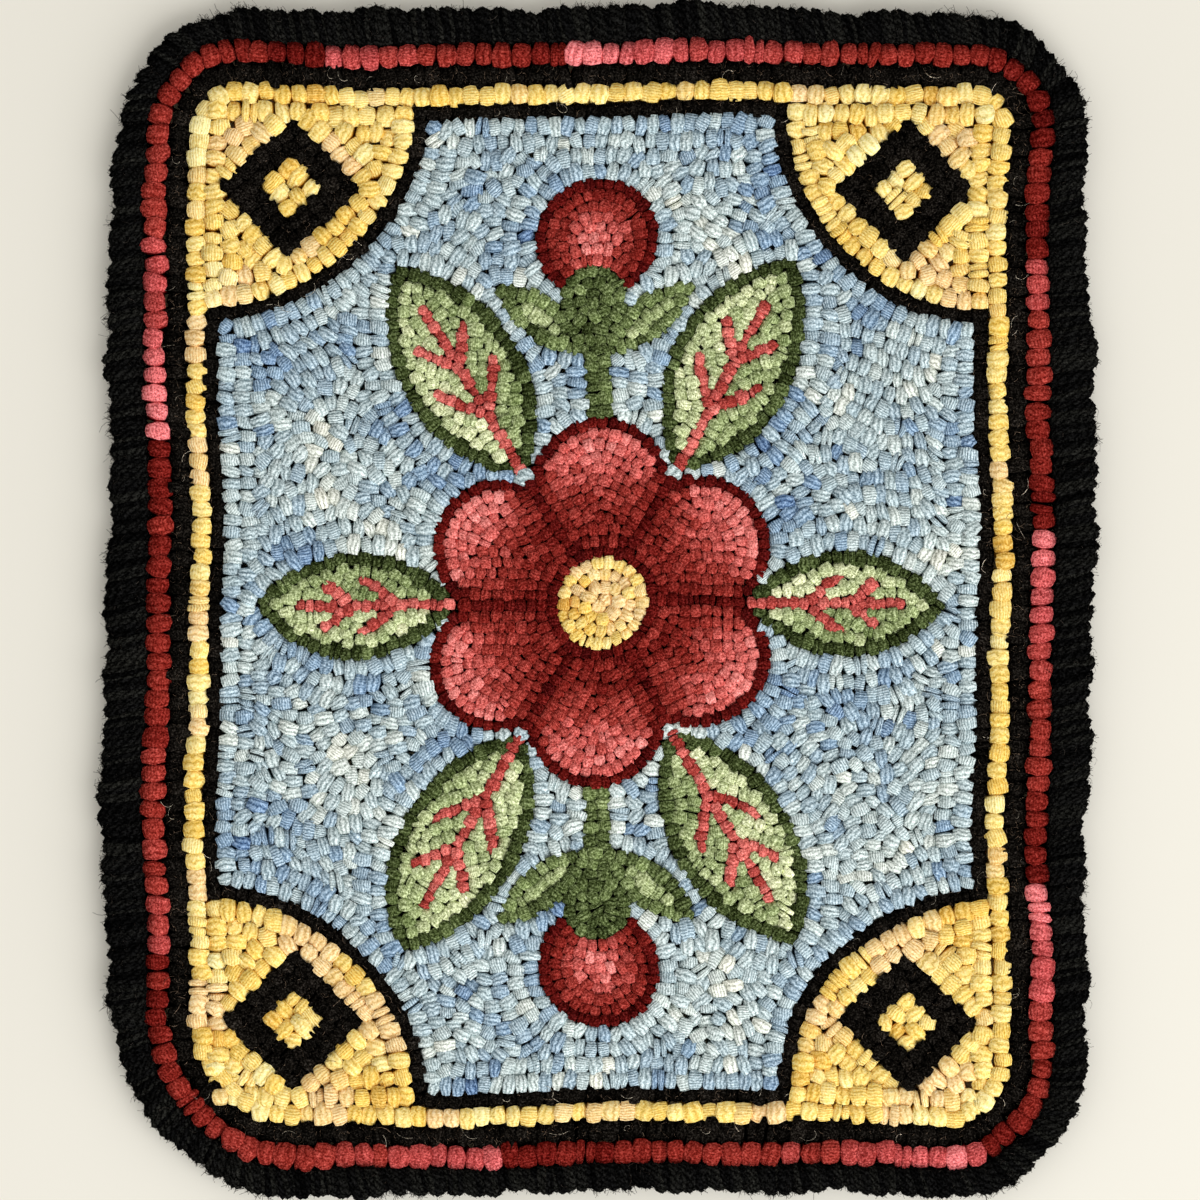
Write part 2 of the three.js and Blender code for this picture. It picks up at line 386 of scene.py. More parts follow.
def join_copies(name, shape, places, dyes, grain, offsets, painted_light_and_tone, material, slot, *nodes):
    """One piece of many copies of a shape. places holds the points of each copy, in millimetres from the
    middle of the rug. Each copy has its own dye, grain and stretch of the weave. Where painted_light_and_tone
    is under one, the dye is painted darker and deeper as painted shade; over one, it is a painted highlight.
    It also holds a random tone for each copy."""
    copies, count = places.shape[:2]
    corners = shape.corners[None] + count * np.arange(copies)[:, None]
    sizes = np.tile(shape.sizes, copies)
    mesh = bpy.data.meshes.new(name)
    mesh.vertices.add(copies * count)
    placed = places * MM + [middle.x, middle.y, 0]
    mesh.vertices.foreach_set("co", placed.astype(np.float32).ravel())
    mesh.loops.add(corners.size)
    mesh.loops.foreach_set("vertex_index", corners.astype(np.int32).ravel())
    mesh.polygons.add(len(sizes))
    mesh.polygons.foreach_set("loop_start", (np.cumsum(sizes) - sizes).astype(np.int32))
    mesh.polygons.foreach_set("use_smooth", np.tile(shape.smooth, copies))
    mesh.update(calc_edges=True)
    piece = new_object(name, mesh)
    colours = np.ones((copies, count, 4))
    painted_light_and_tone = np.broadcast_to(painted_light_and_tone, (copies, count))[..., None]
    # Under one the dye is painted darker and deeper, a painted shade; over one it is painted paler, a painted
    # highlight
    colours[..., :3] = dyes[:, None] ** np.maximum(1 / painted_light_and_tone, 1) * np.maximum(painted_light_and_tone, 1)
    # The dye attribute holds each strip's dye with the painted shade and highlight already in it
    dye = mesh.attributes.new("dye", "FLOAT_COLOR", "POINT")
    dye.data.foreach_set("color", colours.astype(np.float32).ravel())
    lie = mesh.attributes.new("grain", "FLOAT", "POINT")
    lie.data.foreach_set("value", np.repeat(np.broadcast_to(grain, copies), count).astype(np.float32))
    weave = shape.weave[shape.corners][None] + np.broadcast_to(offsets, (copies, 2))[:, None]
    mesh.uv_layers.new(name="strip").data.foreach_set("uv", weave.astype(np.float32).ravel())
    fit(piece, material, slot, *nodes)


def by_hand(x, y, z):
    """Points where a drawing on linen really has them, as its lines never run quite true."""
    true_x = x + 0.8 * np.sin(y / 21 + 1) + 0.35 * np.sin(y / 8.5 + x / 31 + 2)
    true_y = y + 0.7 * np.sin(x / 23 + 0.5) + 0.35 * np.sin(x / 9.5 + y / 27)
    return np.stack([true_x, true_y, z], -1)


def lay_spots(x, y, turn, across, along):
    """Where loops go: their places, the direction of their row, and their size across and along it."""
    spots = np.zeros(len(x), [(name, float) for name in ("x", "y", "turn", "across", "along")])
    for name, values in zip(spots.dtype.names, (x, y, turn, across, along)):
        spots[name] = values
    return spots


def set_down(x, y, turn, across, along, up):
    """Points given across and along a row that is turned this way, on their places in it."""
    x = x[:, None] + (np.sin(turn) * across + np.cos(turn) * along)
    y = y[:, None] + (np.sin(turn) * along - np.cos(turn) * across)
    return by_hand(x, y, up)


def raise_loops(spots, height, rounding, chance):
    """The points of every loop. The loops are wider than their places, so they press on each other, and the
    taller lie over the lower."""

    def uneven(name, points=1):
        leans = chance.standard_normal((len(spots), points))
        return np.clip(leans, -LONGEST_LEAN, LONGEST_LEAN) * UNEVEN[name]

    across, along, up = (LOOP.points[:, i][None] for i in range(3))
    size = spots["across"][:, None] / STRIP_WIDTH
    opened = np.clip(up / 0.62, 0, 1) ** 0.8
    splay = 1 + SPLAYED_FEET - SPLAYED_FEET * opened
    rank = uneven("rank")
    wide = spots["across"][:, None] * CROWDING * (1 + BY_RANK * rank + uneven("width")) * splay
    wide = wide * (1 + rounding * (0.3 - (2 * along) ** 2) * up)
    deep = spots["along"][:, None] * CROWDING * (1 + BY_RANK * rank + uneven("depth")) * splay
    tall = height - FOOT + TALLER_BY_RANK * rank * size
    x = across * wide * (1 + uneven("taper") * along * 2) + uneven("lean") * size * up**2
    y = along * deep * (1 + uneven("skew") * across * 2) + uneven("lean") * size * up**2
    y = y + uneven("bow") * size * np.cos(math.pi * across) * up
    curled = (2 * across) ** 2 * up**3
    tilt = 1 + uneven("side_tilt") * across * 2 + uneven("end_tilt") * along * 2
    z = FOOT + up * tall * tilt + (uneven("curl") + USUAL_CURL) * curled
    rough = ROUGH * size * up
    x, y, z = (value + rough * uneven("roughness", len(LOOP.points)) for value in (x, y, z))
    turn = spots["turn"][:, None] + uneven("twist") * up
    return set_down(spots["x"], spots["y"], turn, x, y, z)


def wool(name, shade, depth, fineness, nap_share):
    """Fulled wool cloth: its dye comes with each strip, its threads follow the strip, and its nap lies over
    both.
    Where threads and nap sink its colour is painted darker and deeper, as painted shade, and where they rise
    it is painted paler and more faded, as a painted highlight."""
    material, tree, shader = new_material(name)
    dye = node(tree, "Attribute", {"attribute_name": "dye"})["Color"]
    grain = node(tree, "Attribute", {"attribute_name": "grain"})["Fac"]
    strip = node(tree, "UVMap", {"uv_map": "strip"})["UV"]
    threads = from_group(tree, THREADS, Position=strip, Thread=WOOL_THREAD, Grain=grain)["Height"]
    nap = from_group(tree, NAP, Position=place_on_rug(tree), Fineness=fineness)
    height = node(tree, "Mix", {}, Factor=nap_share, A=threads, B=nap["Height"])["Result"]
    mottled = ranged(tree, nap["Mottle"], 0.75, 1.25)
    # Painted shade and highlight: the colour is darkened where threads and nap sink and lightened where they
    # rise
    shading = worked_out(tree, "MULTIPLY", ranged(tree, height, *shade), mottled)
    # Painted shade and highlight: deeper colour where they sink, more faded colour where they rise
    strength = node(tree, "Gamma", {}, Color=dye, Gamma=ranged(tree, height, *depth))[0]
    fill_in(tree, shader.inputs, {
        "Base Color": scaled(tree, strength, shading),
        "Roughness": ranged(tree, nap["Height"], 0.86, 1.0),
        "Normal": bumped(tree, height, 1.0, 0.25),
        "Specular IOR Level": 0.0,
    })
    return material


# Which of a cloth's threads stand out: both sets as in a plain cloth, or mostly one set
PLAIN = (0.25, 0.5)
LINED = (0.1, 0.2, 0.8)
# Each wool's darkest and palest painted shade and highlight, its deepest and most faded painted colour, its
# nap's fineness and share, its threads
WOOLS = {
    "red_wool": ((0.3, 1.86), (1.25, 0.74), 2.0, 0.62, PLAIN),
    "black_wool": ((0.3, 2.2), (1.25, 0.7), 2.2, 0.8, PLAIN),
    "yellow_wool": ((0.66, 1.36), (1.55, 0.65), 1.9, 0.45, LINED),
    "blue_wool": ((0.38, 1.75), (1.35, 0.5), 2.1, 0.43, LINED),
    "green_wool": ((0.25, 1.95), (1.3, 0.55), 1.8, 0.55, PLAIN),
}
CLOTHS = {slot: wool(slot.replace("_", " ") + " strips", *looks[:4]) for slot, looks in WOOLS.items()}

hooked = {slot: [] for slot in WOOLS}


def with_strip_ends(spots, dyes, chance):
    """Here and there one strip ends and the next begins: two thin ends stand where a loop would."""
    ends = chance.random(len(spots)) < STRIP_ENDS["share"]
    pairs = np.repeat(spots[ends], 2)
    side = np.tile([-STRIP_ENDS["apart"], STRIP_ENDS["apart"]], ends.sum()) * pairs["along"]
    pairs["x"] += side * np.cos(pairs["turn"])
    pairs["y"] += side * np.sin(pairs["turn"])
    pairs["along"] *= STRIP_ENDS["depth"]
    return np.concatenate([spots[~ends], pairs]), np.concatenate([dyes[~ends], np.repeat(dyes[ends], 2, 0)])


def hook(name, slot, spots, dyes, height, rounding, chance, node_name):
    """Makes one piece of all the loops of a colour and notes them for the back."""
    hooked[slot].append((spots, dyes, node_name))
    spots, dyes = with_strip_ends(spots, dyes, chance)
    copies = len(spots)
    across, up = np.abs(LOOP.points[:, 0]), LOOP.points[:, 2]
    # Painted highlight on the cut edges near the top of each loop
    painted_edge_highlight = PAINTED_EDGE_HIGHLIGHT["by"] * (across > PAINTED_EDGE_HIGHLIGHT["beyond"]) * (up > PAINTED_EDGE_HIGHLIGHT["above"])
    join_copies(
        name, LOOP, raise_loops(spots, height, rounding, chance), dyes,
        chance.choice(WOOLS[slot][4], copies) + chance.normal(0, 0.08, copies),
        chance.random((copies, 2)) * WEAVE_ROOM,
        # Painted shade towards each loop's foot and painted highlight on its cut edges, times a random tone
        # per loop
        (np.interp(up, *PAINTED_SHADE_UP_THE_LOOP) + painted_edge_highlight)[None] * chance.uniform(0.92, 1.08, (copies, 1)),
        CLOTHS[slot], slot, node_name,
    )


def row_of_spots(inset, width, pitch, unevenness, snug, chance):
    """The loops of one row round the border, with no two quite alike and together exactly filling it."""
    line, length = edge_line(inset)
    count = round(length / pitch)
    steps = 1 + unevenness * np.clip(chance.standard_normal(count), -LONGEST_LEAN, LONGEST_LEAN)
    steps *= length / steps.sum()
    points, turn = at_distance(line, length, np.cumsum(steps) - steps / 2)
    aside = chance.normal(0, 0.22, count)
    x, y = points[:, 0] + aside * np.sin(turn), points[:, 1] - aside * np.cos(turn)
    turn = turn + chance.normal(0, 0.1, count)
    across = width * (1 + chance.normal(0, 0.05, count))
    return lay_spots(x, y, turn, across, snug * steps)


def strip_lengths(count, shortest, longest, chance):
    """Which strip each loop of a row is pulled from, and how far along the strip it is, from 0 to 1."""
    along = []
    while len(along) < count:
        along.append(np.linspace(0, 1, int(chance.integers(shortest, longest))))
    strip = np.repeat(np.arange(len(along)), [len(part) for part in along])
    return strip[:count], np.concatenate(along)[:count]


def blended(tone, stops):
    """Colours for tones from 0 to 1, run evenly through a list of colours."""
    at = np.linspace(0, 1, len(stops))
    colours = np.array([linear(*stop) for stop in stops])
    return np.stack([np.interp(tone, at, channel) for channel in colours.T], 1)


# Red row
# The outermost row, of the widest strips, a quarter of an inch. Each strip was dip dyed from dark red through
# brick to pink, so the row runs from dark to light and then starts again with the next strip.
RED_WIDTH = 6
RED_FILLED = 0.85
RED_PITCH = 4.75
RED_PITCH_UNEVENNESS = 0.08
RED_HEIGHT = 7
LOOPS_IN_A_STRIP = (13, 30)
BEADED = 0.42
BEADED_SNUG = 0.99
RED_DIP_DYE = [(62, 9, 8), (98, 20, 16), (128, 36, 29), (150, 50, 43), (186, 74, 74), (226, 116, 118)]

red_chance = np.random.default_rng(11)
red_spots = row_of_spots(
    RED_WIDTH / 2, RED_FILLED * RED_WIDTH, RED_PITCH, RED_PITCH_UNEVENNESS, BEADED_SNUG, red_chance
)
strip, along_strip = strip_lengths(len(red_spots), *LOOPS_IN_A_STRIP, red_chance)
paler = red_chance.uniform(0.55, 1.1, strip.max() + 1)[strip]
red_tone = 0.2 + along_strip**1.2 * paler * 0.8 + red_chance.normal(0, 0.05, len(strip))
red_dyes = blended(red_tone, RED_DIP_DYE)
hook("red_loops", "red_wool", red_spots, red_dyes, RED_HEIGHT, BEADED, red_chance, "red_row")

# Black row
# One row of plain black wool, in strips three sixteenths of an inch wide, hooked close inside the red row and
# a little lower, so that the colours on both sides of it stand out.
BLACK_WIDTH = 5
BLACK_PITCH = 3.7
BLACK_PITCH_UNEVENNESS = 0.09
BLACK_HEIGHT = 6.1
BLACK_SPREAD = 1.08
BLACK_DYE = [(6, 5, 4), (12, 10, 8), (20, 17, 14)]

black_chance = np.random.default_rng(12)


def hook_black(name, spots, height, rounding, node_name):
    """Black loops, no two of quite the same black."""
    dyes = blended(0.4 + black_chance.normal(0, 0.25, len(spots)), BLACK_DYE)
    hook(name, "black_wool", spots, dyes, height, rounding, black_chance, node_name)


black_spots = row_of_spots(
    RED_WIDTH + BLACK_WIDTH / 2, BLACK_SPREAD * BLACK_WIDTH, BLACK_PITCH, BLACK_PITCH_UNEVENNESS, BEADED_SNUG,
    black_chance,
)
hook_black("black_loops", black_spots, BLACK_HEIGHT, BEADED, "black_row")

# Pattern of the ground
# Inside the yellow row the rug is hooked in shapes: a red rosette with a gold centre, leaves with pink veins,
# a bud above and below, and a yellow quarter round with a black diamond in each corner. Every shape is filled
# with rows that follow its edge, and the blue between them in rows that wander.
YELLOW_WIDTH = 4.7
FRAME_INSET = RED_WIDTH + BLACK_WIDTH + YELLOW_WIDTH
QUARTER_ROUND = 52
INNER_BLACK = 3.7
DIAMOND_INSET = 21.5
DIAMOND = {"outer": 18, "inner": 8}
ROSETTE = {"centre": 11.6, "ring": 14.4, "petal": 18, "petal_out": 29, "petals": 6, "divider": 1.4}
LEAVES = [
    *({"angle": angle, "start": 38, "end": 101, "width": 31} for angle in (60, 120, 240, 300)),
    *({"angle": angle, "start": 37, "end": 88, "width": 27} for angle in (0, 180)),
]
VEIN = {"half_width": 1.4, "reach": 0.8}
SIDE_VEINS = {"angle": 40, "places": (0.3, 0.52), "short_of_edge": 6.4, "overlap": 0.02}
BUD = {"radius": 15.5, "up": 93, "cup": 8.5, "stem": 3.2}
BUD_LEAF = {"from_x": 1.5, "from_y": 63, "angle": 38, "start": 0, "end": 30, "width": 11}
# Each shape's strip width, and how far apart its loops are along a row
SHAPES = {
    "blue": (4.2, 3.15),
    "inner_black": (3.5, 3.5),
    "yellow": (4.5, 4.1),
    "diamond": (3.7, 3.6),
    "gold": (3.0, 3.0),
    "petal": (2.85, 2.8),
    "dark_ring": (2.8, 2.8),
    "leaf": (3.15, 3.1),
    "vein": (2.8, 2.8),
    "bud": (2.85, 2.8),
    "stem": (3.1, 3.0),
}
NUMBERS = {name: i for i, name in enumerate(SHAPES)}
frame_x, frame_y = half_width - FRAME_INSET, half_height - FRAME_INSET


def leaf_shape(x, y, angle, start, end, width, from_x=0, from_y=0):
    """How far inside a leaf pointed at both ends a place is, and its places along and across the leaf."""
    turn = math.radians(angle)
    u = (x - from_x) * math.cos(turn) + (y - from_y) * math.sin(turn)
    v = -(x - from_x) * math.sin(turn) + (y - from_y) * math.cos(turn)
    half = (end - start) / 2
    radius = (half**2 + (width / 2) ** 2) / width
    inside = radius - np.hypot(u - start - half, np.abs(v) + radius - width / 2)
    return inside, (u - start) / (end - start), v


def leaves_at(x, y):
    """For each leaf: how far inside, along and across it."""
    return [leaf_shape(x, y, **leaf) for leaf in LEAVES]


def bud_leaves_at(x, y):
    """The same for the pair of small leaves under each bud."""
    return leaf_shape(np.abs(x), np.abs(y), **BUD_LEAF)


def petal_at(x, y):
    """How far a place is inside a petal's round end, from the line to the next petal, and from the middle."""
    out = np.hypot(x, y)
    sector = 2 * math.pi / ROSETTE["petals"]
    turn = (np.arctan2(y, x) - math.pi / 2 + sector / 2) % sector - sector / 2
    inside = ROSETTE["petal"] - np.hypot(out * np.cos(turn) - ROSETTE["petal_out"], out * np.sin(turn))
    return inside, out * np.sin(sector / 2 - np.abs(turn)), out


def shapes_at(x, y):
    """The number of the shape at each place."""
    shape = np.full(x.shape, NUMBERS["blue"])

    def paint(name, where):
        shape[where] = NUMBERS[name]

    in_x, in_y = frame_x - np.abs(x), frame_y - np.abs(y)
    corner = np.hypot(in_x, in_y)
    paint("inner_black", (np.minimum(in_x, in_y) < INNER_BLACK) | (corner < QUARTER_ROUND + INNER_BLACK))
    paint("yellow", corner < QUARTER_ROUND)
    diamond = np.abs(in_x - DIAMOND_INSET) + np.abs(in_y - DIAMOND_INSET)
    paint("diamond", (diamond < DIAMOND["outer"]) & (diamond > DIAMOND["inner"]))
    paint("stem", (np.abs(x) < BUD["stem"]) & (np.abs(y) < BUD["up"]))
    paint("leaf", bud_leaves_at(x, y)[0] > 0)
    slope = math.radians(SIDE_VEINS["angle"])
    for leaf, (inside, along, across) in zip(LEAVES, leaves_at(x, y)):
        paint("leaf", inside > 0)
        on_middle = (np.abs(across) < VEIN["half_width"]) & (along > 0) & (along < VEIN["reach"])
        paint("vein", on_middle & (inside > 0))
        for place in SIDE_VEINS["places"]:
            past = (along - place) * (leaf["end"] - leaf["start"])
            off = past * math.sin(slope) - np.abs(across) * math.cos(slope)
            in_leaf = (inside > SIDE_VEINS["short_of_edge"]) & (along > place - SIDE_VEINS["overlap"])
            paint("vein", (np.abs(off) < VEIN["half_width"]) & in_leaf)
    paint("bud", np.hypot(x, np.abs(y) - BUD["up"]) < BUD["radius"])
    paint("stem", np.hypot(x, np.abs(y) - BUD["up"] + BUD["radius"]) < BUD["cup"])
    inside, divider, out = petal_at(x, y)
    petals = (inside > 0) & (out > ROSETTE["ring"])
    paint("petal", petals)
    paint("dark_ring", (divider < ROSETTE["divider"]) & petals)
    paint("dark_ring", out < ROSETTE["ring"])
    paint("gold", out < ROSETTE["centre"])
    return shape


# Rows of the ground
# The hooking follows the pattern as a hand does: first along the edges of each shape, a row at a time, then
# wherever linen is left. Loops push each other aside until each has its share of room.
RASTER = 0.4
ROUNDS = 9
EDGE_ROWS_OF_BLUE = 3
MOST_EDGE_ROWS = 9
CELLS_NEAR_A_LOOP = 9
CELLS_IN_REACH = 11
SNUG_SHARE = 0.97
FREE_SHARE = {"of_box": 0.62, "of_own": 0.8}
LEAST_ROOM = 0.3
LOOSE_FROM, LOOSE_OVER = 7, 5
ACROSS_LIMITS = (0.66, 1.22)
ALONG_LIMITS = (0.6, 1.3)

columns = np.arange(-frame_x + RASTER / 2, frame_x, RASTER)
lines = np.arange(-frame_y + RASTER / 2, frame_y, RASTER)
grid_x, grid_y = np.meshgrid(columns, lines)
shape_map = shapes_at(grid_x, grid_y)
sizes = np.array(list(SHAPES.values()))


def walls_of(number):
    """Every place on the raster where this shape meets another, or the frame."""
    inside = np.pad(shape_map == number, 1)
    places = []
    for shift_y, shift_x in ((0, 1), (0, -1), (1, 0), (-1, 0)):
        edge = inside & ~np.roll(inside, (-shift_y, -shift_x), (0, 1))
        row, column = np.nonzero(edge)
        x = columns[0] + (column - 1 + shift_x / 2) * RASTER
        y = lines[0] + (row - 1 + shift_y / 2) * RASTER
        places.append(np.stack([x, y], 1))
    return np.concatenate(places)


def distance_to_walls():
    """For each place on the raster: how far its shape's nearest wall is, and the direction away from it."""
    far = np.zeros(shape_map.shape)
    away = np.zeros((*shape_map.shape, 2))
    for number in NUMBERS.values():
        places = walls_of(number)
        tree = kdtree.KDTree(len(places))
        for i, (x, y) in enumerate(places):
            tree.insert((x, y, 0), i)
        tree.balance()
        rows, cols = np.nonzero(shape_map == number)
        here = np.stack([columns[cols], lines[rows]], 1)
        nearest = np.array([tree.find((x, y, 0))[1] for x, y in here])
        offset = here - places[nearest]
        far[rows, cols] = np.hypot(*offset.T)
        away[rows, cols] = offset / np.maximum(far[rows, cols], 1e-6)[:, None]
    return far, away


wall_distance, wall_away = distance_to_walls()
# Directions are kept as double angles, because a row may be followed either way
lie = np.arctan2(wall_away[..., 1], wall_away[..., 0])
lie_cos, lie_sin = np.cos(2 * lie), np.sin(2 * lie)
drift = (
    1.3 * np.sin(grid_x / 17 + 1.1 * np.sin(grid_y / 23))
    + 1.2 * np.cos(grid_y / 14 + 1.3 * np.sin(grid_x / 19 + 2))
    + 0.6 * np.sin((grid_x + grid_y) / 9)
)
loose = np.clip((wall_distance - LOOSE_FROM) / LOOSE_OVER, 0, 1) * (shape_map == NUMBERS["blue"])
lie_cos = lie_cos * (1 - loose) + np.cos(2 * drift) * loose
lie_sin = lie_sin * (1 - loose) + np.sin(2 * drift) * loose


def cell_of(x, y):
    """The raster cell that a place is in, or the nearest one."""
    column = int(min(max((x - columns[0]) / RASTER + 0.5, 0), len(columns) - 1))
    row = int(min(max((y - lines[0]) / RASTER + 0.5, 0), len(lines) - 1))
    return row, column


def cells_around(reach):
    """Steps to the cells of a square, down and across."""
    steps = np.arange(-reach, reach + 1)
    return np.meshgrid(steps, steps, indexing="ij")


def on_raster(rows, cols):
    return (rows >= 0) & (rows < len(lines)) & (cols >= 0) & (cols < len(columns))


def hook_by_hand(chance):
    """First places for the loops, walked along the rows."""
    taken = np.zeros(shape_map.shape, bool)
    found = []
    near_y, near_x = cells_around(CELLS_NEAR_A_LOOP)

    def cells_under(x, y, number, share):
        """The cells under a loop here, which of them are its own shape's, and its direction."""
        row, column = cell_of(x, y)
        angle = 0.5 * math.atan2(lie_sin[row, column], lie_cos[row, column])
        cos, sin = math.cos(angle), math.sin(angle)
        rows, cols = row + near_y, column + near_x
        fits = on_raster(rows, cols)
        rows, cols = rows[fits], cols[fits]
        dx, dy = columns[cols] - x, lines[rows] - y
        across, along = sizes[number] / 2 * share
        under = (np.abs(dx * cos + dy * sin) < across) & (np.abs(dy * cos - dx * sin) < along)
        rows, cols = rows[under], cols[under]
        return rows, cols, shape_map[rows, cols] == number, angle

    def place(x, y, number):
        """Takes a place for a loop, unless most of it is taken already."""
        row, column = cell_of(x, y)
        if shape_map[row, column] != number or taken[row, column]:
            return None
        rows, cols, own, angle = cells_under(x, y, number, 1)
        free = (own & ~taken[rows, cols]).sum()
        if free < FREE_SHARE["of_box"] * len(rows) and free < FREE_SHARE["of_own"] * own.sum():
            return None
        rows, cols, own, angle = cells_under(x, y, number, SNUG_SHARE)
        taken[rows[own], cols[own]] = True
        found.append((x, y, number))
        return angle

    def keep_level(x, y, number, level):
        """Moves a place back to how far from the wall its row keeps."""
        for _ in range(2):
            row, column = cell_of(x, y)
            if shape_map[row, column] != number:
                break
            short = level - wall_distance[row, column]
            if abs(short) > sizes[number][0]:
                break
            x += short * wall_away[row, column, 0]
            y += short * wall_away[row, column, 1]
        return x, y

    def walk(x, y, number, level):
        """Hooks a row both ways from here."""
        angle = place(x, y, number)
        if angle is None:
            return
        along = sizes[number][1]
        for way in (1, -1):
            at_x, at_y = x, y
            heading = angle + way * math.pi / 2
            while True:
                at_x += along * math.cos(heading)
                at_y += along * math.sin(heading)
                if level is not None:
                    at_x, at_y = keep_level(at_x, at_y, number, level)
                next_angle = place(at_x, at_y, number)
                if next_angle is None:
                    break
                turned = next_angle + math.pi / 2
                flip = math.cos(turned - heading) < 0
                heading = turned + math.pi if flip else turned

    for number in NUMBERS.values():
        across = sizes[number][0]
        deepest = wall_distance[shape_map == number].max()
        most = EDGE_ROWS_OF_BLUE if number == NUMBERS["blue"] else MOST_EDGE_ROWS
        for k in range(max(min(round(deepest / across), most), 1)):
            level = min((k + 0.5) * across, deepest)
            ready = (shape_map == number) & (np.abs(wall_distance - level) < RASTER) & ~taken
            for row, column in np.argwhere(ready):
                if not taken[row, column]:
                    walk(columns[column], lines[row], number, level)
        left = np.argwhere((shape_map == number) & ~taken)
        for row, column in left[chance.permutation(len(left))]:
            if not taken[row, column]:
                walk(columns[column], lines[row], number, None)
    return np.array(found)


def share_of_room(x, y, number, angle):
    """Which loop each raster cell belongs to: the nearest, measured in that loop's own proportions."""
    near_y, near_x = (steps.ravel() for steps in cells_around(CELLS_IN_REACH))
    column = np.round((x - columns[0]) / RASTER).astype(int)
    row = np.round((y - lines[0]) / RASTER).astype(int)
    rows, cols = row[:, None] + near_y, column[:, None] + near_x
    fits = on_raster(rows, cols)
    rows, cols = rows.clip(0, len(lines) - 1), cols.clip(0, len(columns) - 1)
    dx, dy = columns[cols] - x[:, None], lines[rows] - y[:, None]
    cos, sin = np.cos(angle)[:, None], np.sin(angle)[:, None]
    across = np.abs(dx * cos + dy * sin) / (sizes[number, 0] / 2)[:, None]
    along = np.abs(dy * cos - dx * sin) / (sizes[number, 1] / 2)[:, None]
    apart = np.maximum(across, along) + 0.12 * (across + along)
    fits &= (shape_map[rows, cols] == number[:, None]) & (apart < 4)
    loop = np.broadcast_to(np.arange(len(x))[:, None], rows.shape)
    # The loop's number is packed under its distance, so that the least key names the nearest loop
    key = (np.round(apart[fits] * 4096).astype(np.int64) << 16) | loop[fits]
    best = np.full(shape_map.size, np.iinfo(np.int64).max)
    np.minimum.at(best, rows[fits] * len(columns) + cols[fits], key)
    owned = best < np.iinfo(np.int64).max
    return np.nonzero(owned)[0], best[owned] & 0xFFFF


def settle(found, chance):
    """Lets the loops push each other aside, and gives each the size and direction of its room."""
    x, y, number = found[:, 0].copy(), found[:, 1].copy(), found[:, 2].astype(int)
    turned = chance.standard_normal(len(x)) * np.where(number == NUMBERS["blue"], 0.2, 0.05)
    flat = [a.ravel() for a in (grid_x, grid_y, lie_cos, lie_sin)]
    cells = [cell_of(*place) for place in zip(x, y)]
    angle = np.array([0.5 * math.atan2(lie_sin[cell], lie_cos[cell]) for cell in cells]) + turned

    def per_loop(values=None):
        """The sum of these values over each loop's cells, or the number of its cells."""
        return np.bincount(loop, weights=values, minlength=len(x))

    for _ in range(ROUNDS):
        cell, loop = share_of_room(x, y, number, angle)
        count = per_loop()
        keep = count * RASTER**2 > LEAST_ROOM * sizes[number].prod(1)
        mean_x, mean_y, cos, sin = (per_loop(values[cell]) / np.maximum(count, 1) for values in flat)
        x, y = mean_x[keep], mean_y[keep]
        turned, number, count = turned[keep], number[keep], count[keep]
        angle = 0.5 * np.arctan2(sin, cos)[keep] + turned
    cell, loop = share_of_room(x, y, number, angle)
    count = np.maximum(per_loop(), 1)
    dx, dy = flat[0][cell] - x[loop], flat[1][cell] - y[loop]
    cos, sin = np.cos(angle)[loop], np.sin(angle)[loop]
    across, along = (
        np.clip(np.sqrt(12 * per_loop(side**2) / count) / size, *limits) * size
        for side, size, limits in (
            (dx * cos + dy * sin, sizes[number, 0], ACROSS_LIMITS),
            (dy * cos - dx * sin, sizes[number, 1], ALONG_LIMITS),
        )
    )
    return lay_spots(x, y, angle + math.pi / 2, across, along), number


ground_chance = np.random.default_rng(21)
ground_spots, ground_shape = settle(hook_by_hand(ground_chance), ground_chance)


def spots_in(*names):
    """The loops of these shapes."""
    return ground_spots[np.isin(ground_shape, [NUMBERS[name] for name in names])]


def slow_noise(spots, size, start):
    """A smooth wandering value of about -1 to 1, for dye that was spotted unevenly."""
    x, y = spots["x"], spots["y"]
    return (
        np.sin(x / size + 1.7 * np.sin(y / size * 0.8 + start))
        + np.sin(y / size * 1.1 + 1.9 * np.sin(x / size * 0.7 + 2 * start))
    ) / 2


# Yellow row and quarter rounds
# Wool spot dyed from butter to gold, with a few peach places: a row inside the black one, and the ground of
# each quarter round.
YELLOW_PITCH = 4.1
YELLOW_PITCH_UNEVENNESS = 0.07
YELLOW_FILLED = 0.9
YELLOW_SNUG = 1.05
YELLOW_HEIGHT = 6.7
IN_A_ROW = 0.3
YELLOW_DYE = [(214, 162, 74), (240, 203, 106), (248, 220, 136), (253, 238, 170)]
PEACH = linear(238, 203, 152)
MOST_PEACH = 0.8


def yellow_dyes(spots, chance):
    tone = 0.56 + 0.16 * slow_noise(spots, 9, 3) + chance.normal(0, 0.17, len(spots))
    peach = 2 * slow_noise(spots, 6, 7) - 0.7 + chance.normal(0, 0.4, len(spots))
    peach = np.clip(peach, 0, MOST_PEACH)[:, None]
    return blended(tone, YELLOW_DYE) * (1 - peach) + PEACH * peach


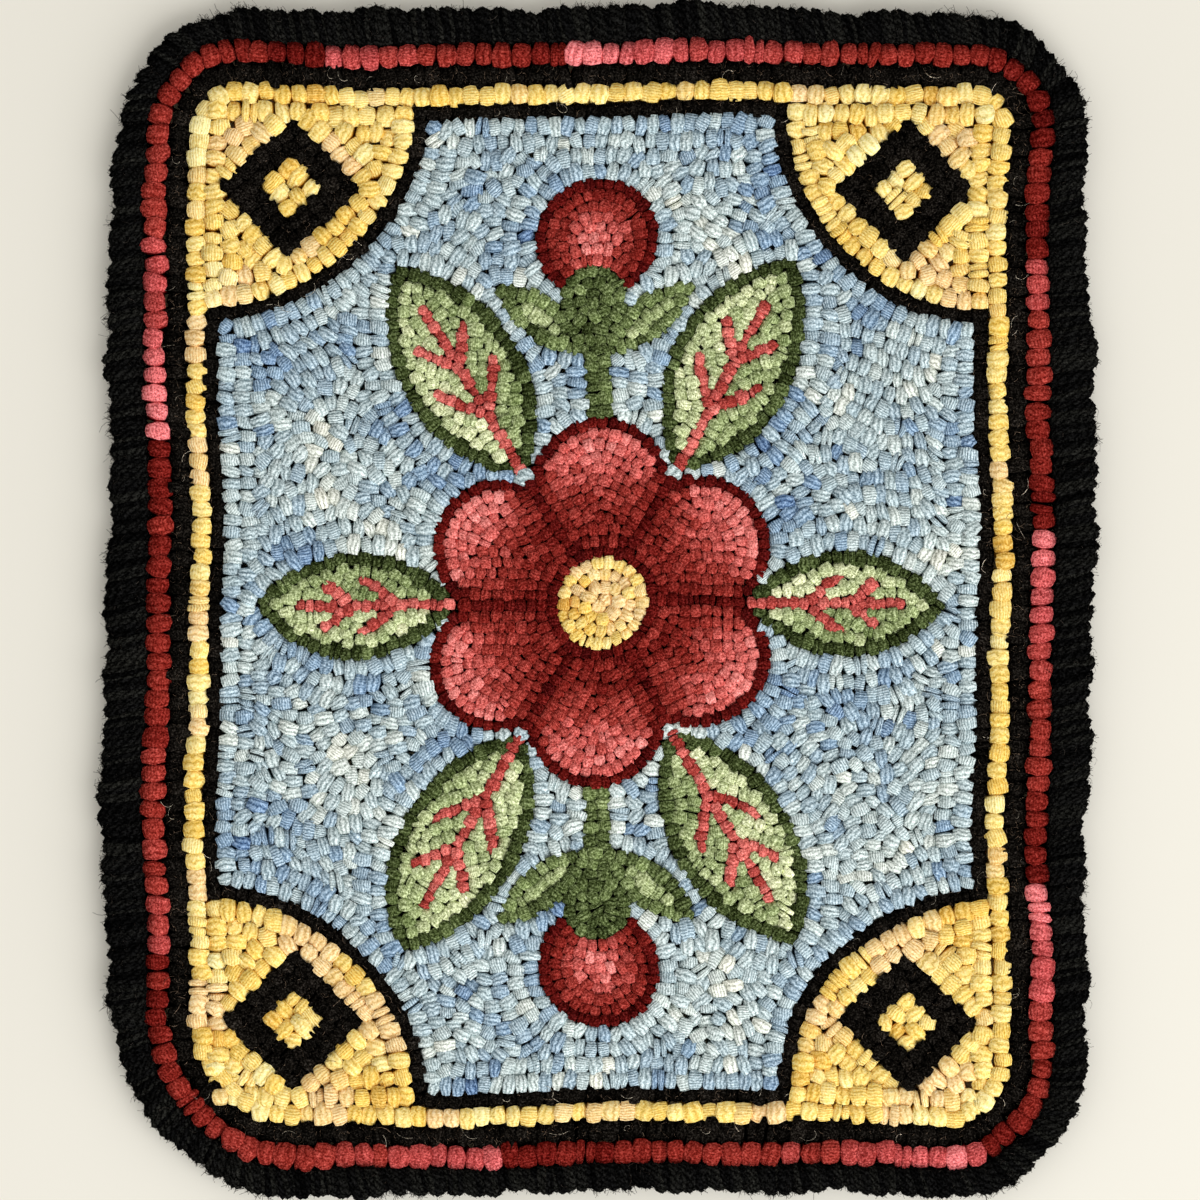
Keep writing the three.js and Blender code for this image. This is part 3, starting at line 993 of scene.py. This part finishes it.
yellow_chance = np.random.default_rng(13)
yellow_row = row_of_spots(
    RED_WIDTH + BLACK_WIDTH + YELLOW_WIDTH / 2, YELLOW_FILLED * YELLOW_WIDTH, YELLOW_PITCH,
    YELLOW_PITCH_UNEVENNESS, YELLOW_SNUG, yellow_chance,
)
yellow_spots = np.concatenate([yellow_row, spots_in("yellow")])
hook(
    "yellow_loops", "yellow_wool", yellow_spots, yellow_dyes(yellow_spots, yellow_chance), YELLOW_HEIGHT,
    IN_A_ROW, yellow_chance, "yellow_border",
)

# Corner diamonds
# A ring of black wool, two rows wide, hooked into the yellow of each quarter round and as high as it, round a
# small yellow middle.
diamond_spots = spots_in("diamond")
hook_black("diamond_loops", diamond_spots, YELLOW_HEIGHT, IN_A_ROW, "yellow_border")

# Inner black row
# One row of narrow black strips that outlines the blue ground. It is hooked before the ground, and runs round
# the quarter rounds too.
inner_spots = spots_in("inner_black")
hook_black("inner_black_loops", inner_spots, BLACK_HEIGHT, IN_A_ROW, "inner_black_row")

# Blue ground
# Strips of grey blue wool, five thirty-seconds of an inch wide, spot dyed with paler and denim places. They
# are hooked in rows along every edge, and in wandering rows between them.
GROUND_HEIGHT = 6.5
IN_THE_GROUND = 0.07
BLUE_DYE = [(80, 108, 147), (116, 143, 168), (152, 172, 179), (182, 196, 194), (217, 219, 205)]


def hook_in_ground(name, slot, spots, dyes, height, chance):
    hook(name, slot, spots, dyes, height, IN_THE_GROUND, chance, "blue_ground")


blue_chance = np.random.default_rng(14)
blue_spots = spots_in("blue")
blue_patch = slow_noise(blue_spots, 11, 5) + 0.7 * slow_noise(blue_spots, 4, 1)
blue_tone = 0.52 + 0.19 * blue_patch + blue_chance.normal(0, 0.14, len(blue_spots))
blue_dyes = blended(blue_tone, BLUE_DYE)
upper_half = blue_spots["y"] > 0
for name, half in (("blue_loops_above", upper_half), ("blue_loops_below", ~upper_half)):
    hook_in_ground(name, "blue_wool", blue_spots[half], blue_dyes[half], GROUND_HEIGHT, blue_chance)

# Rosette and buds
# Narrow strips of the same dip-dyed reds, hooked a little higher than the ground: dark in the outlines and
# near the middle, pink towards the tips. The rosette's centre is of the yellow wool.
MOTIF_HEIGHT = 6.7
OUTLINE_TONE = 0.13
OUTLINE_WIDTH = 3
MOTIF_RED = [(58, 8, 8), (92, 18, 15), (124, 35, 29), (154, 55, 48), (200, 92, 86), (230, 136, 130)]

motif_chance = np.random.default_rng(15)
petal_spots = spots_in("petal", "dark_ring")
inside, divider, out = petal_at(petal_spots["x"], petal_spots["y"])
petal_tone = 0.34 + 0.5 * np.clip((out - 20) / 18, 0, 1) * np.clip((divider - 1.5) / 6, 0, 1)
outline = (inside < OUTLINE_WIDTH) | (divider < ROSETTE["divider"]) | (out < ROSETTE["ring"] + 0.5)
petal_tone = np.where(outline, OUTLINE_TONE, petal_tone)
bud_spots = spots_in("bud")
bud_in = BUD["radius"] - np.hypot(bud_spots["x"], np.abs(bud_spots["y"]) - BUD["up"])
bud_tone = 0.3 + 0.55 * np.clip((bud_in - OUTLINE_WIDTH) / 9, 0, 1)
bud_tone = np.where(bud_in < OUTLINE_WIDTH, OUTLINE_TONE, bud_tone)
motif_spots = np.concatenate([petal_spots, bud_spots])
motif_tone = np.concatenate([petal_tone, bud_tone])
motif_dyes = blended(motif_tone + motif_chance.normal(0, 0.07, len(motif_tone)), MOTIF_RED)
hook_in_ground("rosette_and_bud_loops", "red_wool", motif_spots, motif_dyes, MOTIF_HEIGHT, motif_chance)

gold_spots = spots_in("gold")
gold_dyes = yellow_dyes(gold_spots, motif_chance)
hook_in_ground("rosette_centre_loops", "yellow_wool", gold_spots, gold_dyes, MOTIF_HEIGHT, motif_chance)

# Leaves, stems and veins
# Strips spot dyed in leaf greens, darkest in the outline and lighter on one side of each leaf, with a
# branching vein of pink loops.
LEAF_OUTLINE = {"width": 3.2, "tone": 0.1, "small_tone": 0.3}
STEM_TONE = 0.22
LEAF_DYE = [(30, 38, 14), (60, 72, 36), (102, 118, 68), (142, 156, 104), (176, 186, 136), (210, 214, 168)]
VEIN_DYE = [(150, 52, 46), (186, 82, 76), (214, 110, 102)]

leaf_chance = np.random.default_rng(16)
leaf_spots = spots_in("leaf")
x, y = leaf_spots["x"], leaf_spots["y"]
leaf_tone = np.full(len(leaf_spots), 0.45)
for inside, along, across in leaves_at(x, y):
    lit = 0.68 + 0.1 * np.sign(across) + 0.1 * slow_noise(leaf_spots, 7, 2)
    lit = np.where(inside < LEAF_OUTLINE["width"], LEAF_OUTLINE["tone"], lit)
    leaf_tone = np.where(inside > 0, lit, leaf_tone)
small = bud_leaves_at(x, y)[0]
small_tone = np.where(small < LEAF_OUTLINE["width"], LEAF_OUTLINE["small_tone"], 0.6)
leaf_tone = np.where(small > 0, small_tone, leaf_tone)
stem_spots = spots_in("stem")
green_spots = np.concatenate([leaf_spots, stem_spots])
green_tone = np.concatenate([leaf_tone, np.full(len(stem_spots), STEM_TONE)])
green_dyes = blended(green_tone + leaf_chance.normal(0, 0.08, len(green_tone)), LEAF_DYE)
hook_in_ground("leaf_loops", "green_wool", green_spots, green_dyes, MOTIF_HEIGHT, leaf_chance)

vein_spots = spots_in("vein")
vein_dyes = blended(leaf_chance.random(len(vein_spots)), VEIN_DYE)
hook_in_ground("vein_loops", "red_wool", vein_spots, vein_dyes, MOTIF_HEIGHT, leaf_chance)

# Flat stitches at the back
# Between two loops the strip runs flat under the linen, so the back shows the same pattern in low, flat
# stitches that the rug lies on.
STITCH_WIDTH = 0.76
STITCH_DEPTH = 0.96
STITCH_TWIST = 0.12
STITCH_LIFT = 0.06
STITCH_INTO_LINEN = 0.1
BACK_DYE = 0.92
BACK_GRAIN = 0.8


def model_stitch():
    """A flat pad with a rounded underside, one long and one wide."""
    deselect_all()
    bpy.ops.mesh.primitive_cube_add(size=1, location=(0, 0, 0.5))
    bpy.ops.object.transform_apply()
    piece = bpy.context.object
    switch_to("EDIT")
    bpy.ops.mesh.select_mode(type="FACE")
    bpy.ops.mesh.select_all(action="DESELECT")
    switch_to("OBJECT")
    for face in piece.data.polygons:
        face.select = face.normal.z < -0.5
    switch_to("EDIT")
    bpy.ops.transform.translate(value=(0, 0, 0.45))
    bpy.ops.mesh.extrude_region_move(TRANSFORM_OT_translate={"value": (0, 0, -0.45)})
    bpy.ops.transform.resize(value=(0.7, 0.66, 1), center_override=(0, 0, 0))
    bpy.ops.mesh.select_all(action="SELECT")
    bpy.ops.mesh.normals_make_consistent(inside=False)
    switch_to("OBJECT")
    shape = Shape(piece)
    shape.weave = shape.points[:, :2] * STRIP_WIDTH
    return shape


STITCH = model_stitch()
back_chance = np.random.default_rng(17)
for slot, groups in hooked.items():
    spots, dyes, nodes = zip(*groups)
    spots, dyes = np.concatenate(spots), np.concatenate(dyes)
    turn = spots["turn"][:, None] + back_chance.normal(0, STITCH_TWIST, (len(spots), 1))
    x = STITCH.points[:, 0] * spots["across"][:, None] * STITCH_WIDTH
    y = STITCH.points[:, 1] * spots["along"][:, None] * STITCH_DEPTH
    low = np.abs(back_chance.normal(0, STITCH_LIFT, (len(spots), 1)))
    z = low + STITCH.points[:, 2] * (LINEN_UNDERSIDE + STITCH_INTO_LINEN - low)
    join_copies(
        slot.replace("_wool", "_back_stitches"), STITCH, set_down(spots["x"], spots["y"], turn, x, y, z),
        dyes * BACK_DYE, BACK_GRAIN, back_chance.random((len(spots), 2)) * WEAVE_ROOM, 1, CLOTHS[slot], slot,
        *sorted(set(nodes)),
    )

# Whipped edge
# Black wool yarn wrapped round and round the turned edge of the linen, close and slanting, pulled tighter in
# some places than in others, so that it stands out in clumps. Each stitch takes three to five strands.
YARN_RADIUS = 0.78
WRAP_PITCH = 1.0
WRAP_HEIGHT = 8.6
WRAP_SLANT = 1.8
WHIPPING_OVER_PILE = 0.6
STRANDS_IN_A_STITCH = (3, 6)
# Each stitch stands out as one lobe: how far, how low its ends are, and its share in the height
LOBES = (0.8, 1.8)
LOBE_ENDS = 0.75
LOBE_UP = 0.6
YARN_PRESSED = 1.15
WAVER = 0.3
# How uneven the yarn is: its pitch, thickness and roughness as shares, its bend in radians, the rest in mm
YARN_UNEVEN = {
    "pitch": 0.1, "lobe": 0.12, "width": 0.05, "height": 0.08, "thickness": 0.1, "roughness": 0.1,
    "slant": 0.5, "bend": 0.5, "aside": 0.08,
}
# The whipping's width at each corner, then a quarter and three quarters of the way along the side after it
WHIPPING = {
    (1, 1): (7.4, 8.9, 9.5),
    (-1, 1): (7.2, 9.6, 11.4),
    (-1, -1): (8.2, 7.2, 7.2),
    (1, -1): (8.2, 9.8, 11.7),
}
# How many clumps go round the rug, how far they stand out, and where they start
CLUMPS = [(11, 0.35, 0.4), (37, 0.4, 2.1), (61, 0.35, 5.2)]
RING_RADIUS = 10
ROUNDNESS = 0.75
YARN_DYE = [(4, 4, 4), (9, 9, 9), (14, 14, 13), (20, 20, 18)]


def whipping_width(share_round):
    """The width of the whipping round the rug, run evenly from each measured place to the next."""
    places, widths = [], []
    around = list(WHIPPING)
    reach = 0
    for i, here in enumerate(around):
        following = around[(i + 1) % 4]
        arc = CORNER_RADII[here] * math.pi / 2
        half = half_height if here[0] == following[0] else half_width
        side = 2 * half - CORNER_RADII[here] - CORNER_RADII[following]
        places += [reach + arc / 2, reach + arc + side / 4, reach + arc + side * 3 / 4]
        widths += WHIPPING[here]
        reach += arc + side
    return np.interp(share_round * reach, places, widths, period=reach)


def clumps_at(share_round):
    return sum(depth * np.sin(2 * math.pi * count * share_round + start) for count, depth, start in CLUMPS)


def squared_off(value):
    return np.sign(value) * np.abs(value) ** ROUNDNESS


def section_round(angle, width, tall, thick, swell):
    """Where the yarn runs in the cut face of the whipping: out from the hooking, and up from the floor."""
    cos, sin = np.cos(angle), np.sin(angle)
    half_across, half_up = (width + WHIPPING_OVER_PILE) / 2 - thick, tall / 2 - thick
    out = (width - WHIPPING_OVER_PILE) / 2 + half_across * squared_off(cos) + swell * cos
    up = tall / 2 + half_up * squared_off(sin) + swell * sin
    return out, np.maximum(up, 0.03)


def model_ring(parts, sides):
    """A ring of yarn, whose points are told by how far round it and how far out of the yarn they are."""
    deselect_all()
    bpy.ops.mesh.primitive_torus_add(
        major_segments=parts, minor_segments=sides, major_radius=RING_RADIUS, minor_radius=1
    )
    shape = Shape(bpy.context.object)
    shape.round_ring = np.arctan2(shape.points[:, 1], shape.points[:, 0])
    shape.outward = np.hypot(shape.points[:, 0], shape.points[:, 1]) - RING_RADIUS
    shape.aside = shape.points[:, 2]
    return shape


WRAP = model_ring(13, 5)
WRAP.weave = np.stack([np.arctan2(WRAP.aside, WRAP.outward), (WRAP.round_ring + math.pi) * 4.5], 1)
yarn_chance = np.random.default_rng(18)


def yarn_uneven(name, *count):
    return yarn_chance.normal(0, YARN_UNEVEN[name], count)


line, length = edge_line(0)
wraps = round(length / WRAP_PITCH)
share_round = (np.arange(wraps) + yarn_uneven("pitch", wraps)) / wraps
points, turn = at_distance(line, length, (share_round % 1) * length)
clumps = clumps_at(share_round)
stitch, in_stitch = strip_lengths(wraps, *STRANDS_IN_A_STITCH, yarn_chance)
stitches = stitch.max() + 1
strands = np.bincount(stitch)[stitch]
bulge = 1 - ((2 * in_stitch - 1) * (1 - 1 / strands)) ** 2
lobe = yarn_chance.uniform(*LOBES, stitches)[stitch] * (bulge - LOBE_ENDS)
lobe = lobe + yarn_uneven("lobe", stitches)[stitch]
width = whipping_width(share_round) + clumps + lobe + yarn_uneven("width", wraps)
tall = WRAP_HEIGHT + clumps / 2 + LOBE_UP * lobe + yarn_uneven("height", wraps)
width, tall = width[:, None], tall[:, None]
thick = YARN_RADIUS * (1 + yarn_uneven("thickness", wraps, 1))
swell = thick * WRAP.outward * (1 + yarn_uneven("roughness", wraps, len(WRAP.points)))
out, up = section_round(WRAP.round_ring[None], width, tall, thick, swell)
slant = (WRAP_SLANT + yarn_uneven("slant", stitches)[stitch])[:, None]
bend = yarn_chance.uniform(0, 2 * math.pi, stitches)[stitch] + yarn_uneven("bend", wraps)
shift = slant * (out / width - 0.5) + YARN_PRESSED * thick * WRAP.aside
shift = shift + WAVER * np.sin(2 * WRAP.round_ring[None] + bend[:, None])
shift = shift + yarn_uneven("aside", *shift.shape)
wrap_points = set_down(*points.T, turn[:, None], out, shift, up)


def yarn():
    """Black wool yarn: two plies turned round each other, with a nap. Its colour is painted darker in the
    grooves between the plies and in the low nap, and lighter on the ridges and high nap: painted shade and
    painted highlight.
    """
    material, tree, shader = new_material("black wool yarn")
    dye = node(tree, "Attribute", {"attribute_name": "dye"})["Color"]
    strand = node(tree, "SeparateXYZ", {}, node(tree, "UVMap", {"uv_map": "strip"})["UV"])
    nap = from_group(tree, NAP, Position=place_on_rug(tree), Fineness=1.8)["Height"]
    twist = worked_out(tree, "ADD", strand[0], worked_out(tree, "MULTIPLY", strand[1], 1.5))
    plies = worked_out(tree, "ABSOLUTE", worked_out(tree, "SINE", twist))
    # Painted shade in the ply grooves and low nap, painted highlight on the ridges and high nap
    shade = worked_out(tree, "MULTIPLY", ranged(tree, plies, 0.25, 1.6), ranged(tree, nap, 0.0, 4.0))
    fill_in(tree, shader.inputs, {
        "Base Color": scaled(tree, dye, shade),
        "Roughness": ranged(tree, nap, 0.8, 1.0),
        "Normal": bumped(tree, worked_out(tree, "ADD", plies, nap), 1.0, 0.4),
        "Specular IOR Level": 0.0,
    })
    return material


BLACK_YARN = yarn()
join_copies(
    "whipping", WRAP, wrap_points, blended(yarn_chance.random(wraps), YARN_DYE), 0,
    yarn_chance.random((wraps, 2)) * 9, 1, BLACK_YARN, "black_yarn", "whipped_edge",
)

# Padding of the edge
# The turned edge of the linen and the cord laid along it. They fill the whipping, and are coloured as black
# as the yarn, a painted shade where they show between two turns of it.
PADDING_SINK = 1.3
PADDING_OFF_FLOOR = 0.4

ring = model_ring(288, 10)
ring_share = ring.round_ring / (2 * math.pi) % 1
ring_points, ring_turn = at_distance(line, length, ring_share * length)
ring_clumps = clumps_at(ring_share)
ring_angle = np.arctan2(ring.aside, ring.outward)
ring.weave = np.stack([ring_angle, ring_share * length], 1)
out, up = section_round(
    ring_angle, whipping_width(ring_share) + ring_clumps, WRAP_HEIGHT + ring_clumps / 2, PADDING_SINK, 0
)
up = np.maximum(up, PADDING_OFF_FLOOR)
padding_points = set_down(*ring_points.T, ring_turn[:, None], out[:, None], 0, up[:, None])
# The padding's near-black colour is painted shade between the turns of yarn
join_copies(
    "edge_padding", ring, padding_points.swapaxes(0, 1), linear(6, 5, 5)[None], 0, 0, 1, BLACK_YARN,
    "black_yarn", "whipped_edge",
)

# Stray fibres
# Fine wool fibres that stand out of the whipping and of the black rows, and a little pale lint that clings to
# them. The fuzz is thicker in some places than in others, and a few hairs stand far out of it.
FIBRE_RADIUS = 0.06
DARK_FIBRE = (44, 39, 34)
GREY_FIBRE = (50, 45, 41)
BROWN_FIBRE = (104, 88, 74)
PALE_LINT = (196, 186, 168)
WHIPPING_FUZZ = 19000
WHIPPING_HAIRS = 1100
TOP_FUZZ = 1500
ROW_HAIRS = 1900
LINT = 70


def model_fibre(parts):
    """A fine straight hair, three-sided, one long, that can bend between its parts."""
    deselect_all()
    bpy.ops.mesh.primitive_cylinder_add(vertices=3, radius=1, depth=1, location=(0, 0, 0.5))
    piece = bpy.context.object
    bpy.ops.object.transform_apply()
    switch_to("EDIT")
    for part in range(1, parts):
        bpy.ops.mesh.select_all(action="SELECT")
        bpy.ops.mesh.bisect(plane_co=(0, 0, part / parts), plane_no=(0, 0, 1))
    switch_to("OBJECT")
    shape = Shape(piece)
    shape.weave = shape.points[:, ::2] * 3
    return shape


SHORT_FIBRE = model_fibre(1)
CURLED_FIBRE = model_fibre(3)
LONG_FIBRE = model_fibre(7)
fibre_chance = np.random.default_rng(19)


def any_way(count):
    return fibre_chance.uniform(0, 2 * math.pi, count)


def curls(count, usual=1.6):
    return fibre_chance.normal(0, usual, count)


def fuzz_lengths(count):
    return 0.6 + fibre_chance.exponential(0.7, count)


def scatter_fibres(name, fibre, colour, starts, headings, rise, lengths, curl, node_name):
    """Loose fibres of one colour. They leave their starts in a heading, rise or fall, and bend aside."""
    share = fibre.points[:, 2][None]
    ring_x, ring_y = fibre.points[:, 0][None] * FIBRE_RADIUS, fibre.points[:, 1][None] * FIBRE_RADIUS
    heading = headings[:, None] + curl[:, None] * share
    reach = lengths[:, None] * share
    east = starts[:, 0, None] + reach * np.cos(heading) - ring_x * np.sin(heading)
    north = starts[:, 1, None] + reach * np.sin(heading) + ring_x * np.cos(heading)
    up = starts[:, 2, None] + reach * rise[:, None] * (1 - 0.5 * share) + ring_y
    join_copies(
        name, fibre, np.stack([east, north, np.maximum(up, FIBRE_RADIUS)], 2),
        linear(*colour) * fibre_chance.uniform(0.4, 1.8, (len(starts), 1)), 0, 0, 1,
        BLACK_YARN, "black_yarn", node_name,
    )


fuzzy = 0.4 + np.clip(slow_noise({"x": points[:, 0], "y": points[:, 1]}, 5, 4) + 0.2, 0, 1)
outer_points = np.nonzero((WRAP.points[:, 0] > 7.5) & (WRAP.points[:, 1] > -5))[0]
for name, fibre, count, shortest, usual in (
    ("whipping_fuzz", SHORT_FIBRE, WHIPPING_FUZZ, 0.3, 0.3),
    ("whipping_hairs", CURLED_FIBRE, WHIPPING_HAIRS, 0.8, 0.7),
):
    host = fibre_chance.choice(wraps, count, p=fuzzy / fuzzy.sum())
    starts = wrap_points[host, fibre_chance.choice(outer_points, count)]
    headings = turn[host] - math.pi / 2 + fibre_chance.normal(0, 0.8, count)
    rise = fibre_chance.uniform(-0.3, 0.5, count)
    lengths = shortest + fibre_chance.exponential(usual, count) * fuzzy[host]
    scatter_fibres(name, fibre, DARK_FIBRE, starts, headings, rise, lengths, curls(count), "whipped_edge")

host = fibre_chance.integers(0, wraps, TOP_FUZZ)
upper_points = np.nonzero(WRAP.points[:, 1] > 6)[0]
starts = wrap_points[host, fibre_chance.choice(upper_points, TOP_FUZZ)]
scatter_fibres(
    "whipping_top_fuzz", CURLED_FIBRE, GREY_FIBRE, starts, any_way(TOP_FUZZ),
    fibre_chance.uniform(0, 0.5, TOP_FUZZ), fuzz_lengths(TOP_FUZZ), curls(TOP_FUZZ), "whipped_edge",
)

black_loops = np.concatenate([black_spots, black_spots, inner_spots, diamond_spots])
on_black = fibre_chance.choice(black_loops, ROW_HAIRS)
x, y = (on_black[side] + fibre_chance.uniform(-2, 2, ROW_HAIRS) for side in "xy")
starts = by_hand(x, y, fibre_chance.uniform(5.8, 6.7, ROW_HAIRS))
scatter_fibres(
    "black_row_fuzz", CURLED_FIBRE, BROWN_FIBRE, starts, any_way(ROW_HAIRS),
    fibre_chance.uniform(-0.1, 0.3, ROW_HAIRS), fuzz_lengths(ROW_HAIRS), curls(ROW_HAIRS), "black_row",
)

beside = fibre_chance.choice(np.concatenate([black_spots, inner_spots]), LINT)
starts = by_hand(beside["x"], beside["y"], fibre_chance.uniform(6.2, 7.0, LINT))
scatter_fibres(
    "lint", LONG_FIBRE, PALE_LINT, starts, any_way(LINT), np.full(LINT, 0.05),
    fibre_chance.uniform(1.5, 5, LINT), curls(LINT, 1.5), "black_row",
)

# Floor and light
# The rug lies on a plain pale matt floor. One large soft light stands at the lower right, and an even light
# comes from all round. Lengths are metres here.
FLOOR_SIZE = 8
FLOOR_COLOUR = (238, 235, 225)
LIGHT_PLACE = (0.95, -1.1, 1.0)
LIGHT_SIZE = 2.0
LIGHT_POWER = 27
ROOM_COLOUR = (1, 0.98, 0.94, 1)
ROOM_STRENGTH = 0.68


def floor_paint():
    """Plain pale matt paint, very slightly uneven."""
    material, tree, shader = new_material("pale floor")
    place = node(tree, "TexCoord", {})["Object"]
    cloud = node(tree, "TexNoise", {}, Vector=place, Scale=9.0, Detail=2.0)["Fac"]
    fill_in(tree, shader.inputs, {
        "Base Color": scaled(tree, tuple(linear(*FLOOR_COLOUR)), ranged(tree, cloud, 0.98, 1.02)),
        "Roughness": 0.9,
        "Specular IOR Level": 0.1,
    })
    return material


deselect_all()
bpy.ops.mesh.primitive_plane_add(size=FLOOR_SIZE, location=(0, 0, 0))
floor = bpy.context.object
floor.name = "floor"
floor.data.materials.append(floor_paint())

light_data = bpy.data.lights.new("window", "AREA")
light_data.size = LIGHT_SIZE
light_data.energy = LIGHT_POWER
light = new_object("window", light_data)
light.location = LIGHT_PLACE
light.rotation_mode = "QUATERNION"
light.rotation_quaternion = (-Vector(LIGHT_PLACE)).to_track_quat("-Z", "Y")

world = bpy.data.worlds.new("room")
world.use_nodes = True
fill_in(world.node_tree, world.node_tree.nodes["Background"].inputs, {
    "Color": ROOM_COLOUR, "Strength": ROOM_STRENGTH,
})
bpy.context.scene.world = world
bpy.context.scene.view_settings.view_transform = "Standard"
